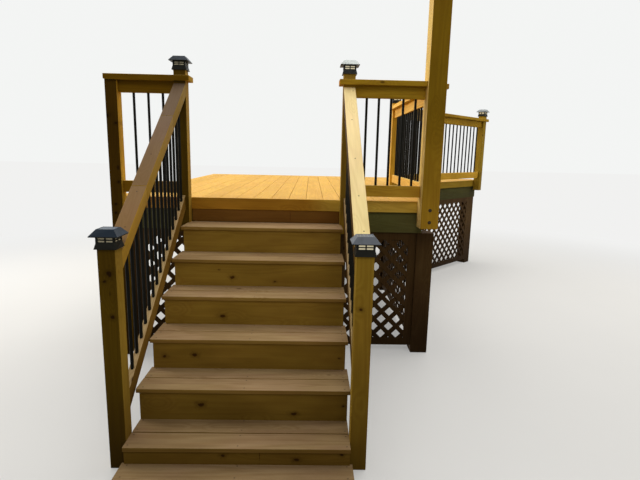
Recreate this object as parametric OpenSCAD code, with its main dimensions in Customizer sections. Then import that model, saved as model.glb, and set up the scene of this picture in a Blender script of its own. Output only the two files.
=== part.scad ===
// Wooden deck stair with its landing, guards and lantern post caps.
// X runs to the right, Y into the climb, Z up. The ground is at z = 0.
// The origin is the middle of the middle stringer's foot.

/* [Flight] */
// Rise from one tread to the next
rise = 190.3; // [170:0.1:200]
// Run from one riser to the next
run = 257.7; // [245:0.1:280]
// Rise of the short step above the lowest tread
short_rise = 100; // [80:1:150]
// Height of the lowest tread above the ground
first_tread_top = 58.2; // [50:0.1:80]
// Clear width between the newel posts
clear_w = 1180; // [1000:1:1400]
// Length by which the treads run past the newels' inner faces
tread_past = 13; // [0:1:30]
// Overhang of a tread past the riser under it
nosing = 11.6; // [5:0.1:30]
// Slot between the top tread and the riser behind it
top_slot = 11.5; // [4:0.1:20]
// Thickness of the tread boards
tread_t = 25.4; // [20:0.1:40]
// Radius along the edges of the tread boards
tread_round = 5; // [2:0.5:8]
// Gap between the two boards of a tread
tread_gap = 5; // [2:0.5:8]
// Thickness of the riser boards
riser_t = 19; // [12:0.5:25]
// Inset of the riser ends from the stringers' outer faces
riser_inset = 2; // [0:0.5:15]
// Depth of the stringer boards
stringer_d = 286; // [235:1:300]
// Setback of the stringers' toe from the lowest nosing
toe_back = 35; // [20:1:60]
// Height of the board that the stringers hang on
hanger_h = 140; // [120:1:184]

/* [Lumber] */
// Side of the square newel posts
post_w = 88.9; // [75:0.1:100]
// Side of the tall post and the support posts
big_post_w = 139.7; // [120:0.1:150]
// Thickness of two-by lumber
two_by = 38; // [30:0.5:45]
// Depth of the rails that stand on edge
rail_d = 89; // [70:1:100]
// Width of the flat cap rail
cap_rail_w = 140; // [120:1:160]
// Width of one deck or tread board
board_w = 139.7; // [120:0.1:145]
// Depth of the rim boards and joists
joist_d = 235; // [184:1:286]

/* [Posts] */
// Distance from the deck's rim to the front of the lower newels
foot_newel_y = 1547.6; // [1500:0.1:1600]
// Length by which the lower newels rise past the handrails' lower ends
foot_neck = 47.6; // [30:0.1:150]
// Height by which the right lower newel stops short of the left one
foot_drop = 14; // [0:0.5:14]
// Length by which the upper newels rise past the cap rail
head_neck = 65; // [30:1:150]
// Distance from the middle of the flight to the wall post's outer face
wall_post_x = 1192; // [1100:1:1400]
// Distance from the middle of the flight to the tall post's inner face
tall_post_x = 1218; // [1100:1:1400]
// Length of the tall post
tall_post_l = 2438; // [1500:1:3000]
// Height by which the tall post hangs below the deck
tall_post_drop = 203; // [150:1:240]
// Height by which the corner post and the wing's post hang below the deck
edge_post_drop = 150; // [120:1:240]

/* [Stair guards] */
// Thickness of the handrail, square to its slope
handrail_t = 76; // [38:1:89]
// Distance from the cap rail down to the handrail, where it meets the upper newel
handrail_drop = 18.5; // [1:0.5:100]
// Height of the bottom rail's top above the line of the nosings
bottom_rail_lift = 67; // [55:0.5:90]
// Diameter of the balusters
baluster_d = 19; // [16:0.5:25]
// Number of balusters in each stair guard
stair_balusters = 16; // [10:1:18]
// Spacing of the stair balusters along the run
stair_baluster_pitch = 80.5; // [70:0.5:82]
// Distance from the lower newel to the first baluster
stair_baluster_start = 82; // [60:1:100]

/* [Level guards] */
// Height of the cap rail's underside above the deck
guard_h = 876; // [860:1:1000]
// Gap below the bottom rail
guard_gap = 38; // [25:1:100]
// Length by which a cap rail runs past a newel
cap_past = 30; // [5:1:40]
// Number of balusters in the left guard
left_balusters = 3; // [2:1:3]
// Number of balusters in the right guard
right_balusters = 5; // [3:1:5]
// Distance from the left guard's last baluster to the upper newel
left_last_bay = 95.7; // [60:0.1:110]
// Distance from the right guard's last baluster to the tall post
right_last_bay = 70.1; // [60:0.1:110]
// Number of balusters in the side guard
side_balusters = 18; // [12:1:22]
// Number of balusters in the wing's guard
wing_balusters = 20; // [16:1:24]

/* [Landing] */
// Distance from the rim's face back to the corner where the wing starts
corner_y = 1948; // [1500:1:2600]
// Distance from the middle of the flight to the right edge
landing_right = 1297; // [1280:1:1350]
// Length of the wing's slanted edge
wing_l = 2300; // [1200:1:3000]
// Angle of the wing's edge to the side edge's square
wing_turn = 45; // [30:1:60]
// Depth of the landing behind the wing's end
wing_tail = 250; // [200:1:600]
// Gap between deck boards
board_gap = 3; // [2:0.5:6]
// Place of one gap between deck boards, from the middle of the flight
board_line = -99.5; // [-130:0.5:-20]
// Thickness of the deck boards
deck_t = 25.4; // [20:0.1:40]
// Thickness of the fascia boards
fascia_t = 25; // [19:0.5:38]
// Height of the fascia boards
fascia_h = 92; // [80:1:140]
// Spacing of the joists
joist_pitch = 406; // [300:1:460]

/* [Lattice] */
// Width of one slat
slat_w = 38; // [30:1:45]
// Thickness of one slat
slat_t = 7; // [5:0.5:12]
// Spacing of the slats, square to their length
slat_pitch = 92; // [80:1:120]
// Width of the lattice frame
frame_w = 64; // [50:1:89]
// Gap between the lattice and the ground
lattice_gap = 60; // [20:1:150]

/* [Lantern caps] */
// Width across the eaves
eave_w = 142; // [130:1:160]
// Width of the flat top
flat_w = 86; // [80:1:100]
// Height of the roof
roof_h = 37; // [20:1:45]
// Thickness of the eave's edge
eave_t = 4; // [2:0.5:8]
// Width of the lantern's window band
band_w = 94; // [92:1:110]
// Height of the window band
band_h = 32; // [25:1:50]
// Width across the foot of the skirt
skirt_w = 110; // [104:1:125]
// Height of the skirt
skirt_h = 30; // [28:1:40]
// Depth by which the cap slips over the post
cap_sleeve = 25; // [15:1:27]
// Thickness of the lantern's walls
lantern_wall = 5; // [4:0.5:8]
// Width of the lantern's corner posts
lantern_corner = 11; // [8:0.5:15]
// Width of the bar between two slots
lantern_bar = 7; // [4:0.5:10]

/* [Hidden] */

// Clearance between pieces whose faces would otherwise meet at a cut
fit_gap = 0.3;
// Reach of a cutter past the body that it cuts
over = 5;

cedar = "#a9794a";
cedar_dark = "#8a6238";
cedar_light = "#d9a566";
rim_green = "#4c4d36";
metal_black = "#1c1c1e";
lens_white = "#c9cdbb";
panel_blue = "#3c4652";

// Heights of the treads and the deck
full_rises = 6;
treads = full_rises + 1;
deck_h = first_tread_top + short_rise + full_rises * rise;
function tread_top(k) = k > full_rises ? first_tread_top : deck_h - k * rise;

// The first tread is two boards deep, and the others follow at the run
tread_d = 2 * board_w + tread_gap;
function riser_y(k) = k == 1 ? -riser_t : -riser_t - top_slot - tread_d + nosing - (k - 2) * run;
function nose_y(k) = riser_y(k + 1) - nosing;

// Slope of the flight, and the length that a square thickness takes up plumb
slope = rise / run;
plumb = sqrt(1 + slope * slope);

// The stringer's bottom edge, parallel to the line of its notches
function seat(k) = tread_top(k) - tread_t;
notch_y = riser_y(2) + riser_t;
heel_y = notch_y - (seat(1) - stringer_d * plumb) / slope;
toe_y = nose_y(treads) + toe_back;
foot_y = (toe_y + heel_y) / 2;

half = clear_w / 2;
newel_x = half + post_w / 2;
head_y = -fascia_t - post_w;
guard_y = head_y + post_w / 2;
foot_newel_back = -foot_newel_y + post_w;
rim_bottom = deck_h - deck_t - joist_d;
side_rim_x = landing_right - fascia_t;
support_right = side_rim_x - two_by;
lattice_t = 2 * slat_t + fit_gap;
rim_inset = fascia_t + two_by;

// Step of a mitred corner between the side and the wing, at a given inset from the edge
function mitre(inset) = inset * tan(45 - wing_turn / 2);
far_x = landing_right + wing_l * cos(wing_turn);
back_y = corner_y + wing_l * sin(wing_turn) + wing_tail;
function wing_y(x, inset) = corner_y + (x - landing_right) * tan(wing_turn) + inset / cos(wing_turn);

// The landing's outline at a given inset from its front, side and wing
function landing(inset) = [
    [-wall_post_x, inset - fascia_t],
    [landing_right - inset, inset - fascia_t],
    [landing_right - inset, corner_y + mitre(inset)],
    [far_x, wing_y(far_x, inset)],
    [far_x, back_y],
    [-wall_post_x, back_y]];

// The side guard's corner post stands where the lines of the two guards cross
side_x = landing_right + post_w / 2;
side_post_y = corner_y - mitre(post_w / 2) - post_w / 2;

// Heights of the guards and the posts that end them
cap_rail_top = guard_h + two_by;
head_newel_top = cap_rail_top + head_neck;
handrail_head = guard_h - handrail_drop;
function handrail_z(y) = deck_h + handrail_head + slope * (y - head_y);
function foot_newel_top(s) = handrail_z(foot_newel_back) + foot_neck - (s > 0 ? foot_drop : 0);

// Heights on the slope of the stair's bottom rails
function rail_top_z(y) = tread_top(1) + bottom_rail_lift + slope * (y - nose_y(1));

// Solid between two heights and two depths, centred on x
module beam_x(w, y0, y1, z0, z1, x = 0) {
    translate([x - w / 2, y0, z0])
        cube([w, y1 - y0, z1 - z0]);
}

// A band of the given width whose outline runs along the flight
module along_flight(w, points, x = 0) {
    translate([x - w / 2, 0, 0])
        rotate([90, 0, 90])
            linear_extrude(w)
                polygon(points);
}

// A tread board with round edges, from front to back
module tread_board(w, y, z) {
    r = tread_round;
    translate([-w / 2, y, z])
        rotate([90, 0, 90])
            linear_extrude(w)
                union() {
                    for (v = [r, board_w - r], h = [r, tread_t - r])
                        translate([v, h])
                            circle(r, $fn = 32);
                    translate([r, 0])
                        square([board_w - 2 * r, tread_t]);
                    translate([0, r])
                        square([board_w, tread_t - 2 * r]);
                }
}

module stringer(x) {
    teeth = [for (k = [1:treads]) each [
        [riser_y(k) + riser_t, seat(k)],
        [k == treads ? toe_y : riser_y(k + 1) + riser_t, seat(k)]]];
    color(cedar_dark)
        along_flight(two_by, concat(
            teeth,
            [[toe_y, 0], [heel_y, 0], [0, seat(1) - stringer_d * plumb - slope * notch_y]]), x);
}

module stringer_left() {
    stringer(-half + two_by / 2);
}

module stringer_middle() {
    stringer(0);
}

module stringer_right() {
    stringer(half - two_by / 2);
}

// The board under the rim that the stringers' heads bear on
module hanger_board() {
    color(cedar_dark)
        beam_x(clear_w, 0, two_by, rim_bottom - hanger_h, rim_bottom);
}

// The sixth tread stands between the lower newels, the first is notched round the upper ones
module tread(k) {
    w = k == full_rises ? clear_w - 2 * fit_gap : clear_w + 2 * tread_past;
    color(cedar_light)
        difference() {
            for (i = [0, 1])
                tread_board(w, nose_y(k) + i * (board_w + tread_gap), seat(k));
            if (k == 1)
                for (s = [-1, 1])
                    beam_x(post_w, head_y - fit_gap, 0, seat(k) - over, deck_h, s * (newel_x - fit_gap));
        }
}

module risers() {
    w = clear_w - 2 * riser_inset;
    color(cedar) {
        beam_x(w, riser_y(1), 0, tread_top(1), deck_h - fascia_h);
        for (k = [2:treads])
            beam_x(w, riser_y(k), riser_y(k) + riser_t, tread_top(k), seat(k - 1));
    }
}

module newel_bottom(s) {
    color(cedar)
        beam_x(post_w, -foot_newel_y, foot_newel_back, 0, foot_newel_top(s), s * newel_x);
}

module newel_bottom_left() {
    newel_bottom(-1);
}

module newel_bottom_right() {
    newel_bottom(1);
}

// The upper newels are bolted to the face of the fascia
module newel_top(s) {
    color(cedar)
        beam_x(post_w, head_y, -fascia_t, rim_bottom, deck_h + head_newel_top, s * newel_x);
}

module newel_top_left() {
    newel_top(-1);
}

module newel_top_right() {
    newel_top(1);
}

module wall_post() {
    color(cedar)
        translate([-wall_post_x, head_y, 0])
            cube([post_w, post_w, deck_h + guard_h]);
}

module tall_post() {
    color(cedar)
        translate([tall_post_x, -fascia_t - big_post_w, deck_h - tall_post_drop])
            cube([big_post_w, big_post_w, tall_post_l]);
}

// A post that is bolted to the landing's edge and runs up to its lantern cap
module edge_post() {
    color(cedar)
        translate([0, 0, deck_h - edge_post_drop])
            cube([post_w, post_w, edge_post_drop + head_newel_top]);
}

module corner_post() {
    translate([landing_right, side_post_y, 0])
        edge_post();
}

module wing_post() {
    at_wing()
        translate([wing_l - post_w, -post_w, 0])
            edge_post();
}

// The outline between two heights on the slope, from newel to newel
function sloped(z0, z1, y0, y1) = [
    [y0, z0 + slope * (y0 - head_y)], [y1, z0 + slope * (y1 - head_y)],
    [y1, z1 + slope * (y1 - head_y)], [y0, z1 + slope * (y0 - head_y)]];

module handrail(s) {
    top = handrail_z(head_y);
    color(cedar)
        along_flight(post_w, sloped(top - handrail_t * plumb, top, foot_newel_back, head_y), s * newel_x);
}

module handrail_left() {
    handrail(-1);
}

module handrail_right() {
    handrail(1);
}

module stair_bottom_rail(s) {
    top = rail_top_z(head_y);
    color(cedar)
        along_flight(two_by, sloped(top - rail_d * plumb, top, foot_newel_back, head_y), s * newel_x);
}

module stair_bottom_rail_left() {
    stair_bottom_rail(-1);
}

module stair_bottom_rail_right() {
    stair_bottom_rail(1);
}

// The balusters are cut to the slope where they meet the two rails
module stair_baluster_row(s) {
    z0 = rail_top_z(head_y);
    z1 = handrail_z(head_y) - handrail_t * plumb;
    first_y = foot_newel_back + stair_baluster_start;
    color(metal_black)
        intersection() {
            along_flight(post_w, sloped(z0, z1, foot_newel_back, head_y), s * newel_x);
            for (i = [0:stair_balusters - 1])
                translate([s * newel_x, first_y + i * stair_baluster_pitch, 0])
                    cylinder(h = deck_h + guard_h, d = baluster_d, $fn = 24);
        }
}

module stair_balusters_left() {
    stair_baluster_row(-1);
}

module stair_balusters_right() {
    stair_baluster_row(1);
}

// A cap rail of the given length that is notched round the post it passes
module cap_rail(x0, x1, post_x) {
    z = deck_h + guard_h;
    color(cedar)
        difference() {
            translate([x0, guard_y - cap_rail_w / 2, z])
                cube([x1 - x0, cap_rail_w, two_by]);
            translate([post_x - post_w / 2 - fit_gap, head_y - fit_gap, z - over])
                cube([post_w + 2 * fit_gap, post_w + 2 * fit_gap, two_by + 2 * over]);
        }
}

module cap_rail_left() {
    cap_rail(-wall_post_x, -half + cap_past, -newel_x);
}

module cap_rail_right() {
    cap_rail(half - cap_past, tall_post_x, newel_x);
}

// A board along the side edge between two insets, mitred at the wing
module side_board(d0, d1, start, h) {
    linear_extrude(h)
        polygon([
            [landing_right - d0, start],
            [landing_right - d0, corner_y + mitre(d0) - fit_gap],
            [landing_right - d1, corner_y + mitre(d1) - fit_gap],
            [landing_right - d1, start]]);
}

// Children along the wing's edge: x runs along it and y inwards
module at_wing() {
    translate([landing_right, corner_y, 0])
        rotate([0, 0, wing_turn])
            children();
}

// A board along the wing between two insets, mitred at the corner
module wing_board(d0, d1, end0, end1, h) {
    at_wing()
        linear_extrude(h)
            polygon([
                [fit_gap - mitre(d0), d0],
                [end0, d0],
                [end1, d1],
                [fit_gap - mitre(d1), d1]]);
}

// A wing board whose far end is flush with the landing's far side
module flush_wing_board(d0, d1, h) {
    wing_board(d0, d1, wing_l + d0 * tan(wing_turn), wing_l + d1 * tan(wing_turn), h);
}

module corner_post_space(h) {
    translate([landing_right - fit_gap, side_post_y - fit_gap, 0])
        cube([post_w + 2 * fit_gap, post_w + 2 * fit_gap, h]);
}

module wing_post_space(h) {
    at_wing()
        translate([wing_l - post_w - fit_gap, -post_w - fit_gap, 0])
            cube([post_w + 2 * fit_gap, post_w + 2 * fit_gap, h]);
}

// The two cap rails meet in a mitre round the corner post
module cap_rail_side() {
    d0 = -post_w / 2 - cap_rail_w / 2;
    d1 = -post_w / 2 + cap_rail_w / 2;
    end = wing_l + cap_past;
    color(cedar)
        difference() {
            translate([0, 0, deck_h + guard_h]) {
                side_board(d0, d1, -fascia_t, two_by);
                wing_board(d0, d1, end, end, two_by);
            }
            corner_post_space(deck_h + guard_h + two_by + over);
            wing_post_space(deck_h + guard_h + two_by + over);
        }
}

// Two rails on edge, along x, from the height of the deck
module level_rails(length) {
    color(cedar)
        for (z = [guard_gap, guard_h - rail_d])
            translate([0, -two_by / 2, z])
                cube([length, two_by, rail_d]);
}

// Balusters between the two rails, evenly spaced up to a last bay of the given width
module level_balusters(length, count, last_bay) {
    pitch = (length - last_bay) / count;
    color(metal_black)
        for (i = [1:count])
            translate([i * pitch, 0, guard_gap + rail_d])
                cylinder(h = guard_h - guard_gap - 2 * rail_d, d = baluster_d, $fn = 24);
}

left_guard_l = wall_post_x - 2 * post_w - half;
right_guard_l = tall_post_x - half - post_w;
side_guard_l = side_post_y + fascia_t;
wing_guard_start = mitre(post_w / 2) + post_w / 2 / max(cos(wing_turn), sin(wing_turn));
wing_guard_l = wing_l - post_w - wing_guard_start;

module at_left_guard() {
    translate([-wall_post_x + post_w, guard_y, deck_h])
        children();
}

module at_right_guard() {
    translate([half + post_w, guard_y, deck_h])
        children();
}

module at_side_guard() {
    translate([side_x, -fascia_t, deck_h])
        rotate([0, 0, 90])
            children();
}

module front_guard_rails() {
    at_left_guard()
        level_rails(left_guard_l);
    at_right_guard()
        level_rails(right_guard_l);
}

module front_guard_balusters() {
    at_left_guard()
        level_balusters(left_guard_l, left_balusters, left_last_bay);
    at_right_guard()
        level_balusters(right_guard_l, right_balusters, right_last_bay);
}

module at_wing_guard(start) {
    at_wing()
        translate([start, -post_w / 2, deck_h])
            children();
}

// The wing's rails are notched round the corner post
module side_guard_rails() {
    at_side_guard()
        level_rails(side_guard_l);
    difference() {
        at_wing_guard(0)
            level_rails(wing_l - post_w);
        corner_post_space(deck_h + guard_h + over);
    }
}

module side_guard_balusters() {
    at_side_guard()
        level_balusters(side_guard_l, side_balusters, side_guard_l / (side_balusters + 1));
    at_wing_guard(wing_guard_start)
        level_balusters(wing_guard_l, wing_balusters, wing_guard_l / (wing_balusters + 1));
}

// Boards laid from front to back, trimmed to the landing's outline
module decking() {
    first = -ceil((wall_post_x + board_line) / board_w) - 1;
    last = ceil((far_x - board_line) / board_w);
    color(cedar_light)
        translate([0, 0, deck_h - deck_t])
            linear_extrude(deck_t)
                intersection() {
                    polygon(landing(fascia_t));
                    for (i = [first:last])
                        translate([board_line + i * board_w + board_gap / 2, 0])
                            square([board_w - board_gap, back_y]);
                }
}

// The front board runs over the end of the side board
module fascia() {
    color(cedar)
        translate([0, 0, deck_h - fascia_h]) {
            translate([-wall_post_x, -fascia_t, 0])
                cube([wall_post_x + landing_right, fascia_t, fascia_h]);
            side_board(0, fascia_t, fit_gap, fascia_h);
            flush_wing_board(0, fascia_t, fascia_h);
        }
}

module front_rim() {
    color(rim_green)
        translate([-wall_post_x, 0, rim_bottom])
            cube([wall_post_x + side_rim_x, two_by, joist_d]);
}

module back_rim() {
    color(rim_green)
        translate([-wall_post_x, back_y - two_by, rim_bottom])
            cube([wall_post_x + far_x, two_by, joist_d]);
}

// Rim boards of the side, the wing and the short far side
module side_rim() {
    color(rim_green)
        translate([0, 0, rim_bottom]) {
            side_board(fascia_t, rim_inset, two_by, joist_d);
            flush_wing_board(fascia_t, rim_inset, joist_d);
            linear_extrude(joist_d)
                polygon([
                    [far_x - two_by, wing_y(far_x - two_by, rim_inset) + fit_gap],
                    [far_x, wing_y(far_x, rim_inset) + fit_gap],
                    [far_x, back_y - two_by],
                    [far_x - two_by, back_y - two_by]]);
        }
}

module ledger() {
    color(rim_green)
        translate([-wall_post_x, two_by, rim_bottom])
            cube([two_by, back_y - 2 * two_by, joist_d]);
}

// Joists from the ledger to the rim, cut to the slant along the wing
module joists() {
    x0 = -wall_post_x + two_by;
    color(cedar_dark)
        translate([0, 0, rim_bottom])
            linear_extrude(joist_d)
                intersection() {
                    polygon(landing(rim_inset));
                    for (y = [joist_pitch:joist_pitch:back_y - 3 * two_by])
                        translate([x0, y])
                            square([far_x - two_by - x0, two_by]);
                }
}

module support_posts() {
    color(cedar_dark) {
        for (x = [-wall_post_x, support_right], y = [0, back_y - big_post_w])
            translate([x, y, 0])
                cube([big_post_w, big_post_w, rim_bottom]);
        translate([support_right, corner_y - big_post_w / 2, 0])
            cube([big_post_w, big_post_w, rim_bottom]);
        at_wing()
            translate([wing_l - big_post_w, fascia_t, 0])
                cube([big_post_w, big_post_w, rim_bottom]);
    }
}

// One layer of a lattice panel: a frame with slats that lean to one side
module lattice_layer(w, h, lean) {
    window_w = w - 2 * frame_w;
    window_h = h - 2 * frame_w;
    reach = window_w + window_h;
    count = ceil(reach / slat_pitch / 2);
    linear_extrude(slat_t)
        difference() {
            square([w, h]);
            intersection() {
                translate([frame_w, frame_w])
                    square([window_w, window_h]);
                translate([w / 2, h / 2])
                    rotate(lean)
                        for (i = [-count:count])
                            translate([i * slat_pitch + slat_w / 2, -reach])
                                square([slat_pitch - slat_w, 2 * reach]);
            }
        }
}

// Two layers back to back, upright along x, with the foot at z = 0
module lattice(w, h) {
    color(cedar_dark)
        for (side = [0, 1])
            translate([0, slat_t + side * (slat_t + fit_gap), 0])
                rotate([90, 0, 0])
                    lattice_layer(w, h, side == 0 ? 45 : -45);
}

module lattice_front_left() {
    translate([-wall_post_x + big_post_w + fit_gap, two_by / 2, lattice_gap])
        lattice(wall_post_x - big_post_w - half - 2 * fit_gap, rim_bottom - lattice_gap);
}

module lattice_front_right() {
    translate([half + fit_gap, two_by / 2, lattice_gap])
        lattice(support_right - half - 2 * fit_gap, rim_bottom - lattice_gap);
}

module lattice_side() {
    translate([side_rim_x, big_post_w + fit_gap, lattice_gap])
        rotate([0, 0, 90])
            lattice(corner_y - 1.5 * big_post_w - 2 * fit_gap, rim_bottom - lattice_gap);
}

module lattice_wing() {
    start = big_post_w / 2 / cos(wing_turn);
    at_wing()
        translate([start, fascia_t, lattice_gap])
            lattice(wing_l - big_post_w - start - fit_gap, rim_bottom - lattice_gap);
}

// A square block that narrows from one width to another
module tapered_block(w0, w1, h) {
    trapezoid = [[-w0 / 2, 0], [w0 / 2, 0], [w1 / 2, h], [-w1 / 2, h]];
    intersection() {
        translate([0, w0 / 2, 0])
            rotate([90, 0, 0])
                linear_extrude(w0)
                    polygon(trapezoid);
        translate([-w0 / 2, 0, 0])
            rotate([90, 0, 90])
                linear_extrude(w0)
                    polygon(trapezoid);
    }
}

// Places its children on top of each capped post
module at_caps() {
    for (s = [-1, 1]) {
        translate([s * newel_x, -foot_newel_y + post_w / 2, foot_newel_top(s) - cap_sleeve])
            children();
        translate([s * newel_x, guard_y, deck_h + head_newel_top - cap_sleeve])
            children();
    }
    translate([side_x, side_post_y + post_w / 2, deck_h + head_newel_top - cap_sleeve])
        children();
    at_wing()
        translate([wing_l - post_w / 2, -post_w / 2, deck_h + head_newel_top - cap_sleeve])
            children();
}

// Openings of the window band: two rows of slots on each side
module slots() {
    columns = 2;
    rows = 2;
    span = band_w - 2 * lantern_corner;
    slot_w = (span - (columns - 1) * lantern_bar) / columns;
    slot_h = (band_h - (rows + 1) * lantern_wall) / rows;
    for (turn = [0, 90], c = [0:columns - 1], r = [0:rows - 1])
        rotate([0, 0, turn])
            translate([c * (slot_w + lantern_bar) - span / 2, -band_w, lantern_wall])
                translate([0, 0, r * (slot_h + lantern_wall)])
                    cube([slot_w, 2 * band_w, slot_h]);
}

// Skirt over the post, window band, and hipped roof with a recess for the panel
module lantern_cap() {
    inner = band_w - 2 * lantern_wall;
    panel_t = 3;
    union() {
        difference() {
            tapered_block(skirt_w, band_w, skirt_h);
            translate([-post_w / 2, -post_w / 2, -over])
                cube([post_w, post_w, cap_sleeve + over]);
            translate([-inner / 2, -inner / 2, 0])
                cube([inner, inner, skirt_h + over]);
        }
        translate([0, 0, skirt_h])
            difference() {
                translate([-band_w / 2, -band_w / 2, 0])
                    cube([band_w, band_w, band_h]);
                translate([-inner / 2, -inner / 2, -over])
                    cube([inner, inner, band_h + over]);
                slots();
            }
        translate([0, 0, skirt_h + band_h])
            difference() {
                union() {
                    translate([-eave_w / 2, -eave_w / 2, 0])
                        cube([eave_w, eave_w, eave_t]);
                    translate([0, 0, eave_t])
                        tapered_block(eave_w, flat_w, roof_h - eave_t);
                }
                translate([-flat_w / 2 + lantern_wall, -flat_w / 2 + lantern_wall, roof_h - panel_t])
                    cube([flat_w - 2 * lantern_wall, flat_w - 2 * lantern_wall, panel_t + over]);
            }
    }
}

module post_caps() {
    color(metal_black)
        at_caps()
            lantern_cap();
}

// The pale lens inside the window band
module cap_lenses() {
    inner = band_w - 2 * lantern_wall - 2 * fit_gap;
    color(lens_white)
        at_caps()
            translate([-inner / 2, -inner / 2, cap_sleeve])
                cube([inner, inner, skirt_h - cap_sleeve + band_h]);
}

// The flat panel in the roof's recess
module solar_panels() {
    side = flat_w - 2 * lantern_wall - 2 * fit_gap;
    panel_t = 3;
    color(panel_blue)
        at_caps()
            translate([-side / 2, -side / 2, skirt_h + band_h + roof_h - panel_t])
                cube([side, side, panel_t - 1]);
}

module placed() {
    translate([0, -foot_y, 0])
        children();
}

placed() stringer_left();
placed() stringer_middle();
placed() stringer_right();
placed() hanger_board();
placed() tread(1);  // tread_1
placed() tread(2);  // tread_2
placed() tread(3);  // tread_3
placed() tread(4);  // tread_4
placed() tread(5);  // tread_5
placed() tread(6);  // tread_6
placed() tread(7);  // tread_7
placed() risers();
placed() newel_bottom_left();
placed() newel_bottom_right();
placed() newel_top_left();
placed() newel_top_right();
placed() wall_post();
placed() tall_post();
placed() corner_post();
placed() wing_post();
placed() handrail_left();
placed() handrail_right();
placed() stair_bottom_rail_left();
placed() stair_bottom_rail_right();
placed() stair_balusters_left();
placed() stair_balusters_right();
placed() cap_rail_left();
placed() cap_rail_right();
placed() cap_rail_side();
placed() front_guard_rails();
placed() front_guard_balusters();
placed() side_guard_rails();
placed() side_guard_balusters();
placed() decking();
placed() fascia();
placed() front_rim();
placed() back_rim();
placed() side_rim();
placed() ledger();
placed() joists();
placed() support_posts();
placed() lattice_front_left();
placed() lattice_front_right();
placed() lattice_side();
placed() lattice_wing();
placed() post_caps();
placed() cap_lenses();
placed() solar_panels();
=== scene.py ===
"""Stained pine stair: finishes, handrails, fastenings and the studio around it."""

from collections import namedtuple
from math import radians, tan

import bmesh
import bpy
from bpy.props import FloatProperty, FloatVectorProperty, PointerProperty
from mathutils import Euler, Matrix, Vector


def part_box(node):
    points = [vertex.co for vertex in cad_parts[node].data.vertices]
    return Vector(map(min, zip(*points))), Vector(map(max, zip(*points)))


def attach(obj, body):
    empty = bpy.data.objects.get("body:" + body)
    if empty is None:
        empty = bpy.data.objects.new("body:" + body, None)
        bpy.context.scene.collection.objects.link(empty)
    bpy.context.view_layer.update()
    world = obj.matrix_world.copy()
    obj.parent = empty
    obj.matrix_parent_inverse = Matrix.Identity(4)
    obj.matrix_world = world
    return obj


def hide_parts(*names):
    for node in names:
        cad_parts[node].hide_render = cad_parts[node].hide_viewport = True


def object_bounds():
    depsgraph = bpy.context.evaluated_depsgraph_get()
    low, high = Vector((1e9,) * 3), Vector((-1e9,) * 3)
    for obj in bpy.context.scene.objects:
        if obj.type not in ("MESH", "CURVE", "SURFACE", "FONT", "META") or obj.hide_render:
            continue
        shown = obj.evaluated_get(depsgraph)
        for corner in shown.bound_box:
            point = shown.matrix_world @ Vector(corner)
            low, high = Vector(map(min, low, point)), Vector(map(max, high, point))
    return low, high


bl_info = {
    "name": "Wooden deck stair",
    "version": (1, 0, 0),
    "blender": (4, 5, 0),
    "location": "View3D > Sidebar > Stair",
    "description": "Dresses a stained pine deck stair and sets up its studio",
    "category": "Add Mesh",
}

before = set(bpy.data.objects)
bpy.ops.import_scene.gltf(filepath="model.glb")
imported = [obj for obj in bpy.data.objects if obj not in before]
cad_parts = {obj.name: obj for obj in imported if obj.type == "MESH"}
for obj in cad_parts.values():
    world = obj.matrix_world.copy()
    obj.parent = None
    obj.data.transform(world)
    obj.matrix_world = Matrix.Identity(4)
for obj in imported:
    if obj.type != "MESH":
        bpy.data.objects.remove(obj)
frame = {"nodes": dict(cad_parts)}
NODES = frame["nodes"]
CAD_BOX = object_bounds()
MM = 0.001

TREADS = ["tread_%d" % number for number in range(1, 8)]
NEWELS = ["newel_%s_%s" % (end, side) for end in ("bottom", "top") for side in ("left", "right")]
BALUSTERS = [
    "stair_balusters_left",
    "stair_balusters_right",
    "front_guard_balusters",
    "side_guard_balusters",
]
LATTICES = ["lattice_front_left", "lattice_front_right", "lattice_side", "lattice_wing"]


def flight_angle():
    """Angle of the flight, from the treads' places."""
    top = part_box("tread_2")[1]
    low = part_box("tread_6")[1]
    return Vector((top.y - low.y, top.z - low.z)).angle_signed(Vector((1, 0)))


def wing_line():
    """The mitre line through the corner post: boards past it run along the wing."""
    low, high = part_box("corner_post")
    lean = tan(radians(22.5))
    return lean, 1.0, (low.y + high.y) / 2 + lean * (low.x + high.x) / 2


# Turns that carry a board's length onto the Y axis of the pine figure
ALONG_X = (0.0, 0.0, radians(-90))
ALONG_Y = (0.0, 0.0, 0.0)
ALONG_Z = (radians(90), 0.0, 0.0)
ALONG_WING = (0.0, 0.0, radians(-45))
ALONG_FLIGHT = (flight_angle(), 0.0, 0.0)
SLOPE = tan(ALONG_FLIGHT[0])
TO_FRONT = (radians(90), 0.0, 0.0)

# Lines past which the boards of one node turn, each with their new direction
PAST_FRONT = ((0.0, 1.0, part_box("front_rim")[0].y), ALONG_Y)
PAST_CORNER = (wing_line(), ALONG_WING)

# A cell that holds the whole stair, for boards that lie in one row, and where it begins
WIDE = 50.0
WIDE_START = -WIDE / 2

# Length of the edge board at the head of the flight, which spaces those beside it
EDGE_BOARD = 1.19

# Landing boards: the place of one gap, their spacing, and the boards counted from that gap.
# Joists: their width and spacing
DECK_LINE = -99.5 * MM
DECK_PITCH = 139.7 * MM
DECK_BOARDS = range(-8, 24)
JOIST = 38 * MM
JOIST_PITCH = 406 * MM

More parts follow.
